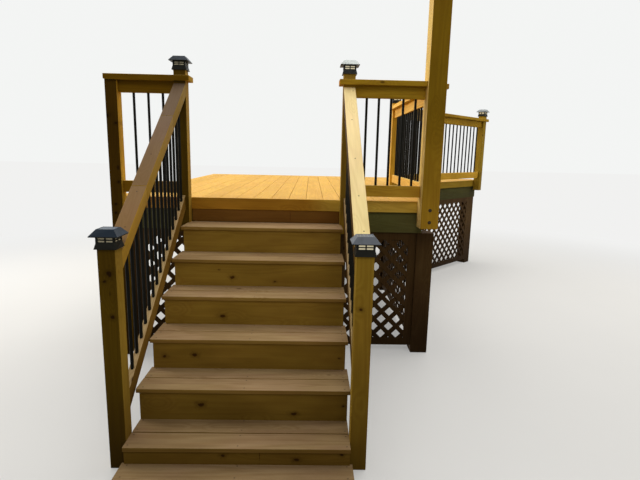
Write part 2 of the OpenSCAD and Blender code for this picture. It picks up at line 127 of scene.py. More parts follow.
# Knots and seams on the risers and knots on the posts: x, height, half width and half height
RISER_KNOTS = (
    (-0.185, 0.790, 0.022, 0.015), (0.115, 0.765, 0.010, 0.007), (-0.280, 0.845, 0.008, 0.006),
    (-0.210, 0.595, 0.024, 0.015), (-0.335, 0.435, 0.021, 0.015), (-0.520, 0.425, 0.016, 0.011),
    (0.550, 0.425, 0.008, 0.006), (-0.245, 0.250, 0.024, 0.016), (0.285, 0.200, 0.022, 0.012),
    (0.565, 0.250, 0.008, 0.006), (-0.075, 0.110, 0.016, 0.011), (0.310, 0.090, 0.020, 0.012),
    (0.545, 0.120, 0.014, 0.009), (0.115, 0.115, 0.0015, 0.030), (0.195, 1.160, 0.0015, 0.045),
)
POST_KNOTS = (
    (-1.185, 1.915, 0.018, 0.016), (-1.120, 1.860, 0.015, 0.012), (-1.125, 1.415, 0.013, 0.011),
    (-1.155, 1.245, 0.012, 0.010), (-1.160, 1.175, 0.012, 0.010), (0.620, 0.900, 0.013, 0.011),
    (-0.625, 1.065, 0.019, 0.021), (-0.650, 1.025, 0.012, 0.010), (-0.620, 0.840, 0.014, 0.014),
)

# Pine: sizes of its figure across, along and through a board, how close its growth rings
# are, and how far apart two planks' figures lie
KNOT_SPACING = (0.17, 0.34, 0.17)
RING_SIZE = (0.10, 1.7, 0.10)
STREAK_SIZE = (0.004, 0.45, 0.004)
BLOTCH_SIZE = (0.20, 0.55, 0.20)
WEATHER_SIZE = (0.45, 0.45, 0.45)
RING_COUNT = 62.0
PLANK_SHIFT = (9.0, 9.0, 9.0)

# Tints of the figure, which multiply the stain
RING_TINT = (0.72, 0.63, 0.52)
STREAK_TINT = (1.22, 1.22, 1.25)
BLOTCH_TINT = (0.70, 0.66, 0.62)
PLANK_TINT = (0.66, 0.60, 0.55)
KNOT_TINT = (0.22, 0.15, 0.12)
WEATHER_TINT = (0.99, 1.02, 0.94)
LOW_DARK_TINT = (0.16, 0.13, 0.11)

# Parts of a normal between which a face begins or ends to count as looking that way, for the faces'
# painted light and shade
LOOKS_LEFT = (-0.85, -0.5)
LOOKS_FRONT = (-0.95, -0.8)
LOOKS_UP = (0.5, 0.75)

# Places between which the painted shade on the left side, the darkening towards the bottom, the
# darker low tops and the tall post's paler foot in painted bounce light end, and how strong the two
# darkenings are
SHADY_TO = (0.30, 0.60)
LOW_DARK_TO = (0.0, 0.80)
LOW_TOP_DARK_TO = (0.20, 0.50)
LOW_DARKENING = 0.70
LOW_TOP_DARKENING = 0.28
TALL_LIT_FOOT = (1.35, 1.95)

# Places across the stair and heights between which the lanterns come out of painted shade into
# painted sunlight
LANTERN_SHADE_TO = (-0.3, 0.3)
ROOF_SUN_FROM = (0.3, 0.4)
ROOF_SUN_TO = (1.0, 1.2)
ROOF_SUN_ABOVE = (1.8, 2.1)
ROOF_SUN_REST = 0.2

# Handrails: shares of the length at which timbers meet, and the tint between two heights: painted
# shade on the upper part of the left handrail
RAIL_JOINTS = {"left": (0.30, 0.74), "right": ()}
RAIL_PAINTED_SHADE = {"left": (1.1, 2.1, (0.66, 0.77, 1.20)), "right": None}

# Screws: share of a handrail's length with the offset across it, and other distances
HANDRAIL_SCREWS = (
    (0.10, 12 * MM), (0.27, 0.0), (0.48, -2 * MM), (0.74, -2 * MM), (0.97, 24 * MM)
)
RAIL_SCREW_DROPS = (20 * MM, 65 * MM)
RAIL_SCREW_INSET = 12 * MM
DECK_SCREW_INSET = 28 * MM
END_ROOM = 15 * MM
EDGE_ROOM = 30 * MM
CORNER_ROOM = 90 * MM
HEAD_DEPTH = 1.2 * MM
HEAD_SUNK = 0.4 * MM
RAIL_HEAD_SUNK = 0.3 * MM
RECESS_DEPTH = 0.7 * MM
RECESS_RIM = 0.28

# Lag bolts in the tall post
BOLT_DROPS = (54 * MM, 149 * MM)
BOLT_DEPTH = 8 * MM
BOLT_OUT = 5 * MM
BOLT_EASING = 1.2 * MM
WASHER_DEPTH = 2.5 * MM

# Rounding along the edges of the lantern caps
CAP_EASING = 0.6 * MM

# Studio: tones of the backdrop, and lamps with their place, aim, width and tone
BACKDROP = (0.90, 0.91, 0.90)
FAR_FLOOR = (0.88, 0.88, 0.87)
SKY_TONE = (1.0, 0.98, 0.94)
LAMPS = (
    ("Key", (0.5, 4.6, 7.6), (0.5, 3.8, 0.0), 8.0, (1.0, 0.97, 0.92)),
    ("Left", (-5.5, 3.4, 3.2), (0.0, 3.4, 1.6), 3.0, (1.0, 0.95, 0.86)),
    ("Right", (6.8, 3.0, 3.2), (0.5, 3.0, 1.6), 3.0, (1.0, 0.95, 0.86)),
    ("Fill", (0.8, -4.5, 6.5), (0.2, 0.8, 0.8), 2.5, (1.0, 0.97, 0.92)),
)
FLOOR_SIZE = 80.0
FLOOR_AHEAD = 10.0
FLOOR_GAP = 0.5 * MM

# Distances from the stair between which the floor fades into the backdrop, and how far it does
FLOOR_FADE = (3.2, 7.5, 0.3, 1.0)

# Tones of a stained board: its shaded front, its left side, its other sides and its top, which
# differ as painted light and shade, with some bleaching and wear
Tones = namedtuple("Tones", "front left side top")


def all_round(tone):
    """The same tone on all faces."""
    return Tones(tone, tone, tone, tone)


# Colours and sizes that a user would change


def colour(name, text, value):
    """A colour that a user can change."""
    return FloatVectorProperty(
        name=name, description=text, subtype="COLOR", size=3, min=0.0, max=1.0, default=value
    )


def number(name, text, value, **kind):
    """A number that a user can change."""
    return FloatProperty(name=name, description=text, default=value, **kind)


def length(name, text, value):
    """A length that a user can change."""
    return number(name, text, value, unit="LENGTH", min=0.0)


class StainColours(bpy.types.PropertyGroup):
    """Stain on each kind of board, with painted light and shade on its faces"""

    # Painted shade: the shaded fronts of posts, rails and handrails
    shade: colour("Shaded faces", "Stain on the newels' fronts", (0.31, 0.185, 0.021))
    # Painted light: the newels' sides are lighter than their shaded fronts
    newel_side: colour("Newels' sides", "Stain on the newels' sides", (0.37, 0.232, 0.035))
    # Painted shade on the tall post's front, and painted bounce light on its paler foot
    tall_post: colour("Tall post", "Stain on the tall post's front", (0.25, 0.142, 0.007))
    tall_post_lit_foot: colour("Tall post's foot", "Paler stain low on the tall post", (0.44, 0.25, 0.020))
    # Painted sunlight on the sides that face the light
    sun: colour("Sunlit faces", "Stain on the sides that the sun reaches", (0.58, 0.27, 0.030))
    # Paler tops and sunlit faces: partly sun bleaching, partly painted sunlight
    bleached: colour("Bleached faces", "Stain that the sun has bleached", (0.95, 0.68, 0.24))
    # Painted shade: the top rails under the cap rails are darker than the paler bottom rails
    top_rail: colour("Top rails", "Stain on the level guards' top rails", (0.42, 0.25, 0.017))
    bottom_rail: colour("Bottom rails", "Paler stain low on the level guards", (0.66, 0.39, 0.040))
    wing_post: colour("Landing posts", "Stain on the posts of the side guard", (0.33, 0.215, 0.022))
    # Painted sunlight on the side guard's faces that look to the left
    sunlit_side_rail: colour("Side rails", "Sunlit faces of the side guard", (1.0, 0.64, 0.16))
    # Painted light and shade on the handrails: the left one's top in painted shade and its side
    # lit, the right one's top in painted sunlight and its inner side in painted shade
    shaded_left_rail_top: colour("Left rail's top", "Worn top of the left handrail", (0.245, 0.140, 0.060))
    lit_left_rail_side: colour("Left rail's side", "Side of the left handrail", (0.44, 0.245, 0.036))
    sunlit_right_rail_top: colour("Right rail's top", "Pale top of the right handrail", (1.0, 0.80, 0.42))
    shaded_right_rail_side: colour("Right rail's side", "Side of the right handrail", (0.10, 0.050, 0.010))
    # Low rails' tops are paler than their sides: partly wear, partly painted light from above, with
    # painted shade on the sides
    low_rail_top: colour("Low rails' tops", "Worn tops of the low rails", (0.46, 0.33, 0.165))
    low_rail_side: colour("Low rails' sides", "Sides of the low rails", (0.24, 0.135, 0.024))
    # Tread tops are greyer and paler than their edges: partly wear, partly a painted reflection of
    # the sky
    tread: colour("Treads", "Worn stain on the treads", (0.345, 0.235, 0.125))
    tread_edge: colour("Tread edges", "Stain on the treads' front edges", (0.34, 0.205, 0.050))
    riser: colour("Risers", "Stain on the risers", (0.305, 0.182, 0.029))
    # Partly painted shade: the recessed top riser is darker in the shade under the edge board, and
    # redder in stain
    top_riser: colour("Top riser", "Redder stain on the recessed top riser", (0.19, 0.085, 0.016))
    # The landing's boards are brighter than the treads: partly sun bleaching, partly painted
    # sunlight
    deck: colour("Deck boards", "Sun-bleached stain on the landing", (0.68, 0.405, 0.097))
    # Painted sunlight: the edge boards take the tone of their sunlit end
    fascia: colour("Edge boards", "Stain on the landing's edge boards", (0.74, 0.49, 0.080))
    rim: colour("Rim", "Green tint of the treated rim boards", (0.115, 0.108, 0.035))
    frame: colour("Framing", "Weathered framing and lattice", (0.085, 0.048, 0.018))


class MetalAndPlasticColours(bpy.types.PropertyGroup):
    """Balusters, fastenings and lantern caps"""

    baluster: colour("Balusters", "Powder coat on the balusters", (0.006, 0.006, 0.004))
    steel: colour("Screws and bolts", "Coated steel of the fastenings", (0.050, 0.034, 0.020))
    cap: colour("Lantern caps", "Moulded plastic of the lantern caps", (0.009, 0.009, 0.006))
    # Painted shade and sunlight on the lantern roofs: dark on the shaded left, paler on the right,
    # palest where the sun reaches
    shaded_roof: colour("Dark roofs", "Lantern roofs in the shade", (0.012, 0.021, 0.034))
    roof: colour("Roofs", "Faded lantern roofs", (0.125, 0.140, 0.165))
    sunlit_roof: colour("Pale roof", "Lantern roof that the sun reaches", (0.73, 0.80, 0.80))
    lens: colour("Lens", "Frosted lens in the lanterns", (0.66, 0.59, 0.40))
    cell: colour("Solar cell", "Cells of the solar panel", (0.045, 0.060, 0.085))
    cell_line: colour("Cell line", "Silver lines between the cells", (0.25, 0.28, 0.30))


class CarpentrySizes(bpy.types.PropertyGroup):
    """Edges, joints and fastenings"""

    easing: length("Eased edge", "Rounding along the edges of the lumber", 3 * MM)
    joint: length("Butt joint", "Gap at the butt joints of the handrails", 1.5 * MM)
    screw_head: length("Screw head", "Diameter of a deck screw's head", 8 * MM)
    screw_inset: length("Screw inset", "Distance of a tread's screw from an edge", 25 * MM)
    bolt_head: length("Bolt head", "Diameter of a lag bolt's head", 19 * MM)
    washer: length("Washer", "Diameter of a washer", 27 * MM)


class StudioSettings(bpy.types.PropertyGroup):
    """Camera, floor and lamps"""

    eye: FloatVectorProperty(
        name="Eye",
        description="Place of the camera",
        subtype="TRANSLATION",
        default=(0.3590, -2.2858, 1.6749),
    )
    heading: number("Heading", "Turn of the camera to the right", radians(1.21), subtype="ANGLE")
    tilt: number("Tilt", "Dip of the camera below the horizon", radians(10.45), subtype="ANGLE")
    roll: number("Roll", "Roll of the camera", radians(-1.24), subtype="ANGLE")
    lens: number("Lens", "Focal length on a 36 mm wide sensor, in millimetres", 26.79)
    floor: colour("Floor", "Pale floor as the camera sees it", (0.66, 0.66, 0.65))
    bounce: colour("Bounce", "Floor as it lights the stair from below", (0.26, 0.25, 0.22))
    sky: number("Sky", "Strength of the soft light", 0.45)
    key: number("Key", "Overhead light in watts", 520.0)
    left: number("Left", "Light from the left in watts", 165.0)
    right: number("Right", "Light from the right in watts", 75.0)
    fill: number("Fill", "Front light in watts", 100.0)


# Shader nodes


class Tree:
    """The nodes of one material, world or group, added and linked by short calls."""

    def __init__(self, owner):
        self.nodes, self.links = owner.nodes, owner.links

    def fill(self, node, inputs):
        """Sets inputs, by name or number, to sockets, numbers, places or colours."""
        for name, value in dict(inputs).items():
            socket = node.inputs[name]
            if isinstance(value, bpy.types.NodeSocket):
                self.links.new(value, socket)
            elif isinstance(value, (int, float)):
                socket.default_value = value
            else:
                socket.default_value = (*value, 1.0)[:len(socket.default_value)]

    def add(self, kind, inputs=(), **settings):
        """A new node with its settings and inputs."""
        node = self.nodes.new(kind)
        for name, value in settings.items():
            setattr(node, name, value)
        self.fill(node, inputs)
        return node

    def place(self):
        """The place on the object, in metres."""
        return self.add("ShaderNodeTexCoord").outputs["Object"]

    def facing(self):
        """The way that the face looks."""
        return self.add("ShaderNodeNewGeometry").outputs["Normal"]

    def parts(self, vector):
        return self.add("ShaderNodeSeparateXYZ", {0: vector}).outputs

    def math(self, operation, *values):
        return self.add("ShaderNodeMath", enumerate(values), operation=operation).outputs[0]

    def vector(self, operation, *values):
        node = self.add("ShaderNodeVectorMath", enumerate(values), operation=operation)
        return node.outputs["Value" if operation == "LENGTH" else "Vector"]

    def mix(self, factor, first, second, blend="MIX"):
        inputs = {0: factor, 6: first, 7: second}
        return self.add("ShaderNodeMix", inputs, data_type="RGBA", blend_type=blend).outputs[2]

    def tint(self, base, factor, tone):
        """The base, multiplied by a tone as far as the factor says."""
        return self.mix(factor, base, tone, "MULTIPLY")

    def step(self, value, low, high, start=0.0, end=1.0):
        """A soft ramp from start to end while the value goes from low to high."""
        inputs = {
            "Value": value, "From Min": low, "From Max": high, "To Min": start, "To Max": end
        }
        node = self.add("ShaderNodeMapRange", inputs, interpolation_type="SMOOTHSTEP")
        return node.outputs["Result"]

    def stretched(self, place, scale, turn=(0.0, 0.0, 0.0), centre=(0.0, 0.0, 0.0)):
        """The place about a centre, in which a figure of the given size is one unit across."""
        inputs = {"Vector": place, "Location": centre, "Rotation": turn, "Scale": scale}
        return self.add("ShaderNodeMapping", inputs, vector_type="TEXTURE").outputs["Vector"]

    def noise(self, place, scale, detail, roughness=0.5, distortion=0.0):
        """Noise whose clouds have the given size."""
        inputs = {
            "Vector": self.stretched(place, scale), "Scale": 1.0, "Detail": detail,
            "Roughness": roughness, "Distortion": distortion,
        }
        return self.add("ShaderNodeTexNoise", inputs).outputs["Fac"]

    def bump(self, height, strength, distance):
        inputs = {"Height": height, "Strength": strength, "Distance": distance}
        return self.add("ShaderNodeBump", inputs).outputs["Normal"]


def new_material(name):
    """A material with its tree and its shader."""
    material = bpy.data.materials.new(name)
    material.use_nodes = True
    tree = Tree(material.node_tree)
    return material, tree, tree.nodes["Principled BSDF"]


# Materials


def pine_figure():
    """Node group: growth rings, fine streaks and knots of a board whose length is along Y."""
    group = bpy.data.node_groups.new("Pine figure", "ShaderNodeTree")
    face = group.interface
    face.new_socket("Vector", in_out="INPUT", socket_type="NodeSocketVector")
    tree = Tree(group)
    source = tree.add("NodeGroupInput").outputs["Vector"]

    inputs = {"Scale": 1.0, "Vector": tree.stretched(source, KNOT_SPACING)}
    distance = tree.add("ShaderNodeTexVoronoi", inputs).outputs["Distance"]
    swirl = tree.step(distance, 0.03, 0.40, 0.32, 0.0)
    slow = tree.noise(source, RING_SIZE, 1.5, 0.4, 0.3)
    bent = tree.math("MULTIPLY", tree.math("ADD", slow, swirl), RING_COUNT)
    figure = {
        "Rings": tree.math("MULTIPLY_ADD", tree.math("SINE", bent), 0.5, 0.5),
        "Streaks": tree.noise(source, STREAK_SIZE, 5.0, 0.65),
        "Knots": tree.step(distance, 0.035, 0.075, 1.0, 0.0),
        "Blotches": tree.noise(source, BLOTCH_SIZE, 3.0, 0.55),
    }
    for name in figure:
        face.new_socket(name, in_out="OUTPUT", socket_type="NodeSocketFloat")
    tree.add("NodeGroupOutput", figure)
    return group


def plank_chance(tree, place, cell, start):
    """A random value and colour, the same all over one plank, for planks laid out in cells."""
    counted = tree.vector("DIVIDE", tree.vector("SUBTRACT", place, start), cell)
    inputs = {"Vector": tree.vector("FLOOR", counted)}
    chance = tree.add("ShaderNodeTexWhiteNoise", inputs, noise_dimensions="3D")
    return chance.outputs["Value"], chance.outputs["Color"]


def along_grain(tree, place, moved, turn, bends):
    """Coordinates along the boards, which turn where the place is past each bend's line."""
    result = tree.stretched(moved, (1.0, 1.0, 1.0), turn)
    x, y = tree.parts(place)[:2]
    for (along, across, limit), other in bends:
        reach = tree.math("MULTIPLY_ADD", y, across, tree.math("MULTIPLY", x, along))
        past = tree.math("GREATER_THAN", reach, limit)
        turned = tree.stretched(moved, (1.0, 1.0, 1.0), other)
        choice = tree.add("ShaderNodeMix", {0: past, 4: result, 5: turned}, data_type="VECTOR")
        result = choice.outputs[1]
    return result


def by_facing(tree, place, tones, shady, upper, foot):
    """The stain's tone by the way that a face looks, as painted light and shade: lit and shaded
    copies of one stain. Painted shade darkens the fronts on the left of the stair, and faces get
    darker towards the bottom."""
    x, y, z = tree.parts(tree.facing())
    at_x, _, at_z = tree.parts(place)
    front, side = tones.front, tones.side
    # A paler front below the given places: painted bounce light on the tall post's foot
    if foot:
        low, high, tone = foot
        front = tree.mix(tree.step(at_z, low, high), tone, front)
    # Above the given height, fronts and sides take another tone: painted shade under an overhang
    if upper:
        height, tone = upper
        above = tree.math("GREATER_THAN", at_z, height)
        front = tree.mix(above, front, tone)
        side = tree.mix(above, side, tone)
    # Painted shade: the fronts on the left side of the stair get darker
    front = tree.tint(front, tree.step(at_x, *SHADY_TO, 1.0, 0.0), shady)
    # Fronts and sides get darker towards the bottom, and tops get darker low down
    low_dark = tree.step(at_z, *LOW_DARK_TO, LOW_DARKENING, 0.0)
    front = tree.tint(front, low_dark, LOW_DARK_TINT)
    side = tree.tint(side, low_dark, LOW_DARK_TINT)
    top = tree.tint(tones.top, tree.step(at_z, *LOW_TOP_DARK_TO, LOW_TOP_DARKENING, 0.0), LOW_DARK_TINT)
    base = tree.mix(tree.step(x, *LOOKS_LEFT, 1.0, 0.0), side, tones.left)
    base = tree.mix(tree.step(y, *LOOKS_FRONT, 1.0, 0.0), base, front)
    return tree.mix(tree.step(z, *LOOKS_UP), base, top)


def knot_spots(tree, place, spots):
    """Knots and seams at given places on the faces that look to the front, with soft halos."""
    ragged = tree.step(tree.noise(place, (0.02,) * 3, 3.0, 0.6), 0.25, 0.75, 0.72, 1.40)
    result = 0.0
    for x, z, wide, high in spots:
        near = tree.stretched(place, (wide, WIDE, high), centre=(x, 0.0, z))
        far = tree.math("MULTIPLY", tree.vector("LENGTH", near), ragged)
        core = tree.step(far, 0.45, 1.05, 1.0, 0.0)
        halo = tree.step(far, 0.6, 2.4, 0.40, 0.0)
        result = tree.math("MAXIMUM", tree.math("MAXIMUM", result, core), halo)
    return result


def stained_pine(
    name, tones, turn, bends=(), cell=(WIDE,) * 3, start=(WIDE_START,) * 3, contrast=1.0, knots=0.8,
    blotches=0.7, roughness=0.6, upper=None, foot=None, fade=None, shady=(1.0, 1.0, 1.0), spots=()
):
    """Stained pine. turn carries a board's length onto Y, and cell and start say how the planks
    are spaced and where one begins. upper is a height with the tone above it, foot a low and a
    high place with the front's tone below them, and fade a low and a high place with the tint
    that the stain takes between them."""
    material, tree, shader = new_material(name)
    place = tree.place()
    value, random = plank_chance(tree, place, cell, start)
    moved = tree.vector("ADD", place, tree.vector("MULTIPLY", random, PLANK_SHIFT))
    inputs = {"Vector": along_grain(tree, place, moved, turn, bends)}
    pine = bpy.data.node_groups["Pine figure"]
    figure = tree.add("ShaderNodeGroup", inputs, node_tree=pine).outputs

    base = by_facing(tree, place, tones, shady, upper, foot)
    weather = tree.noise(moved, WEATHER_SIZE, 2.0)
    base = tree.tint(base, tree.step(weather, 0.38, 0.62), WEATHER_TINT)
    if fade:
        low, high, tone = fade
        base = tree.tint(base, tree.step(tree.parts(place)[2], low, high), tone)
    streaky = tree.step(figure["Streaks"], 0.36, 0.68, 0.0, 0.9 * contrast)
    blotchy = tree.step(figure["Blotches"], 0.35, 0.68, 0.0, blotches)
    knotty = tree.math("MULTIPLY", figure["Knots"], knots)
    if spots:
        knotty = tree.math("MAXIMUM", knotty, knot_spots(tree, place, spots))
    base = tree.tint(base, tree.math("MULTIPLY", figure["Rings"], 0.55 * contrast), RING_TINT)
    base = tree.tint(base, streaky, STREAK_TINT)
    base = tree.tint(base, blotchy, BLOTCH_TINT)
    base = tree.tint(base, tree.math("MULTIPLY", value, 0.55 * contrast), PLANK_TINT)
    relief = tree.math("MULTIPLY_ADD", figure["Rings"], 0.35, figure["Streaks"])
    tree.fill(shader, {
        "Base Color": tree.tint(base, knotty, KNOT_TINT),
        "Roughness": tree.step(figure["Streaks"], 0.3, 0.7, roughness - 0.10, roughness + 0.12),
        "Specular IOR Level": 0.04,
        "Normal": tree.bump(relief, 0.35, 1.2 * MM),
    })
    return material


def coated(name, tone, roughness, metallic=0.0, gloss=0.1, painted_glow=0.0, roofs=()):
    """Powder coat, moulded plastic or coated steel, with a little dust. roofs are the tones of
    roofs in painted shade, faded and lit, and in painted sunlight."""
    material, tree, shader = new_material(name)
    place = tree.place()
    at_x, _, at_z = tree.parts(place)
    grain = tree.noise(place, (0.6 * MM,) * 3, 3.0)
    dust = tree.noise(place, (0.05,) * 3, 4.0, 0.6)
    base = tone
    # Lantern roofs: painted shade on the left, faded and lit on the right, painted sunlight on the
    # high one at right
    if roofs:
        dark, faded_and_lit, pale = roofs
        slopes = tree.step(tree.parts(tree.facing())[2], 0.35, 0.6)
        roof = tree.mix(tree.step(at_x, *LANTERN_SHADE_TO), dark, faded_and_lit)
        right = tree.step(at_x, *ROOF_SUN_FROM)
        near = tree.step(at_x, *ROOF_SUN_TO, 1.0, ROOF_SUN_REST)
        high = tree.step(at_z, *ROOF_SUN_ABOVE)
        sunlit = tree.math("MULTIPLY", tree.math("MULTIPLY", right, near), high)
        base = tree.mix(slopes, tone, tree.mix(sunlit, roof, pale))
    dusty = Vector(tone) * 1.6 + Vector((0.004, 0.004, 0.003))
    inputs = {
        "Base Color": tree.mix(tree.step(dust, 0.45, 0.75, 0.0, 0.35), base, dusty),
        "Roughness": tree.step(dust, 0.3, 0.7, roughness - 0.06, roughness + 0.10),
        "Normal": tree.bump(grain, 0.2, 0.3 * MM),
        "Metallic": metallic,
        "Specular IOR Level": gloss,
    }
    # Painted light: the lenses glow as if lit by the sun, dimly on the shaded left
    if painted_glow:
        inputs["Emission Color"] = tone
        inputs["Emission Strength"] = tree.step(at_x, *LANTERN_SHADE_TO, 0.1 * painted_glow, painted_glow)
    tree.fill(shader, inputs)
    return material


def solar_cells(tone, line_tone):
    """Dark cells under a clear cover, with silver lines between them."""
    material, tree, shader = new_material("Solar cells")
    place = tree.place()
    x, y = tree.parts(tree.stretched(place, (19 * MM,) * 3))[:2]
    line_x, line_y = (
        tree.math("LESS_THAN", tree.math("FRACT", axis), 0.07) for axis in (x, y)
    )
    cell = tree.mix(tree.noise(place, (10 * MM,) * 3, 2.0), tone, Vector(tone) * 1.7)
    tree.fill(shader, {
        "Base Color": tree.mix(tree.math("MAXIMUM", line_x, line_y), cell, line_tone),
        "Roughness": 0.42,
        "Specular IOR Level": 0.18,
    })
    return material


# Helpers for pieces


def finish_nodes(names, material, easing=0.0):
    """Gives the model's nodes their material and, for lumber, eased edges."""
    for name in names:
        node = NODES[name]
        node.data.materials.clear()
        node.data.materials.append(material)
        weld = node.modifiers.new("Weld", "WELD")
        weld.merge_threshold = 0.02 * MM
        if easing:
            bevel = node.modifiers.new("Eased edges", "BEVEL")
            bevel.width = easing
            bevel.segments = 2
            bevel.limit_method = "ANGLE"
            bevel.angle_limit = radians(50)


def select_only(*pieces):
    """Selects these pieces and nothing else, with the first one active."""
    bpy.ops.object.select_all(action="DESELECT")
    for piece in pieces:
        piece.select_set(True)
        bpy.context.view_layer.objects.active = pieces[0]


def apply_place():
    """Moves the selected piece's place, turn and size into its mesh."""
    bpy.ops.object.transform_apply(location=True, rotation=True, scale=True)


def settle(piece, material):
    """Leaves a new piece at the origin with its finish, riding on the stair."""
    select_only(piece)
    apply_place()
    piece.data.materials.clear()
    piece.data.materials.append(material)
    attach(piece, "root")


def united(pieces, name):
    """The pieces joined to one, with its name."""
    select_only(*pieces)
    if len(pieces) > 1:
        bpy.ops.object.join()
    whole = bpy.context.view_layer.objects.active
    whole.name = name
    return whole


def copies(original, places, turn=(0.0, 0.0, 0.0)):
    """Copies of a small piece, each with its own mesh, at the given places."""
    result = []
    for place in places:
        twin = original.copy()
        twin.data = original.data.copy()
        twin.location = place
        twin.rotation_euler = turn
        bpy.context.scene.collection.objects.link(twin)
        result.append(twin)
    bpy.data.objects.remove(original)
    return result


def middle(node_name):
    """The middle of a node's box."""
    low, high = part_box(node_name)
    return (low + high) / 2


# Operators, one for each piece or group of like pieces


class STAIR_OT_posts(bpy.types.Operator):
    """Stain the newels and the landing's posts"""

    bl_idname = "stair.posts"
    bl_label = "Posts"

    def execute(self, context):
        stain = context.scene.stair_stain
        ease = context.scene.stair_sizes.easing
        # Newels and wall post: shaded fronts, darker still on the left side of the stair, and
        # lighter sides and tops, all painted light and shade
        newel = stained_pine(
            "Newel pine",
            Tones(stain.shade, stain.newel_side, stain.newel_side, stain.bleached),
            ALONG_Z, cell=(0.4, 1.2, WIDE), start=(0.09, -0.6, WIDE_START), contrast=0.7,
            shady=(0.32, 0.305, 0.15), spots=POST_KNOTS
        )
        finish_nodes(NEWELS, newel, ease)
        wall_post = stained_pine(
            "Wall post pine", Tones(stain.shade, stain.sun, stain.bottom_rail, stain.bleached),
            ALONG_Z, contrast=0.7, shady=(0.24, 0.20, 0.06), spots=POST_KNOTS
        )
        finish_nodes(["wall_post"], wall_post, ease)
        # Corner post: faces that look left in painted sunlight
        tones = Tones(stain.bottom_rail, stain.sunlit_side_rail, stain.wing_post, stain.bleached)
        corner_post = stained_pine("Corner post pine", tones, ALONG_Z, contrast=0.7)
        finish_nodes(["corner_post"], corner_post, ease)
        tones = all_round(stain.wing_post)._replace(top=stain.bleached)
        wing_post = stained_pine("Wing post pine", tones, ALONG_Z, contrast=0.7)
        finish_nodes(["wing_post"], wing_post, ease)
        # Tall post: shaded front, sunlit left side and top, and a paler foot, all painted light and
        # shade
        tall_post = stained_pine(
            "Tall post pine", Tones(stain.tall_post, stain.bleached, stain.sun, stain.bleached),
            ALONG_Z, contrast=0.55, knots=0.4, foot=(*TALL_LIT_FOOT, stain.tall_post_lit_foot)
        )
        finish_nodes(["tall_post"], tall_post, 2 * ease)
        return {"FINISHED"}


class STAIR_OT_guards(bpy.types.Operator):
    """Stain the rails of the guards and powder-coat their balusters"""

    bl_idname = "stair.guards"
    bl_label = "Guards"

    def execute(self, context):
        stain = context.scene.stair_stain
        ease = context.scene.stair_sizes.easing
        low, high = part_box("front_guard_rails")
        # Upper rails in painted shade under the cap rails, faces looking aside in painted sunlight
        layers = {
            "cell": (WIDE, WIDE, 0.5), "start": (WIDE_START, WIDE_START, 0.1), "contrast": 0.8,
            "upper": ((low.z + high.z) / 2, stain.top_rail),
        }
        across = stained_pine(
            "Rail pine across", Tones(stain.bottom_rail, stain.sun, stain.sun, stain.bleached),
            ALONG_X, shady=(0.40, 0.345, 0.17), **layers
        )
        finish_nodes(["cap_rail_left", "cap_rail_right", "front_guard_rails"], across, ease)
        # Side guard rails: faces that look left in painted sunlight, upper rails in painted shade
        back = stained_pine(
            "Rail pine back",
            Tones(stain.bottom_rail, stain.sunlit_side_rail, stain.bottom_rail, stain.bleached),
            ALONG_Y, [PAST_CORNER], **layers
        )
        finish_nodes(["cap_rail_side", "side_guard_rails"], back, ease)
        # Low rails: shaded fronts and faces looking left in painted shade, lit tops: painted light
        # and shade
        slope = stained_pine(
            "Bottom rail pine",
            Tones(stain.shade, stain.shaded_right_rail_side, stain.low_rail_side, stain.low_rail_top),
            ALONG_FLIGHT, contrast=0.8
        )
        finish_nodes(["stair_bottom_rail_left", "stair_bottom_rail_right"], slope, ease)
        coat = coated("Black powder coat", context.scene.stair_plastic.baluster, 0.5, gloss=0.08)
        finish_nodes(BALUSTERS, coat)
        return {"FINISHED"}


class STAIR_OT_flight(bpy.types.Operator):
    """Stain the treads, the risers and the stringers"""

    bl_idname = "stair.flight"
    bl_label = "Flight"

    def execute(self, context):
        stain = context.scene.stair_stain
        ease = context.scene.stair_sizes.easing
        low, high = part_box("tread_2")
        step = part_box("tread_1")[0] - low
        tread = stained_pine(
            "Tread pine", all_round(stain.tread_edge)._replace(top=stain.tread), ALONG_X,
            cell=(WIDE, (high.y - low.y) / 2, step.z / 2), start=(WIDE_START, low.y, low.z),
            contrast=0.8, roughness=0.66
        )
        finish_nodes(TREADS, tread)
        # Risers: ends in painted sunlight, and the top riser in painted shade under the edge board
        riser = stained_pine(
            "Riser pine", Tones(stain.riser, stain.sun, stain.sun, stain.riser), ALONG_X,
            cell=(WIDE, step.y, WIDE), start=(WIDE_START, low.y, WIDE_START), contrast=0.6,
            knots=0.0, upper=(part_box("tread_1")[1].z, stain.top_riser), spots=RISER_KNOTS
        )
        finish_nodes(["risers"], riser, ease / 3)
        framing = stained_pine(
            "Stringer pine", all_round(stain.frame), ALONG_FLIGHT, cell=(0.3, WIDE, WIDE)
        )
        finish_nodes(["stringer_left", "stringer_middle", "stringer_right"], framing, ease / 2)
        return {"FINISHED"}


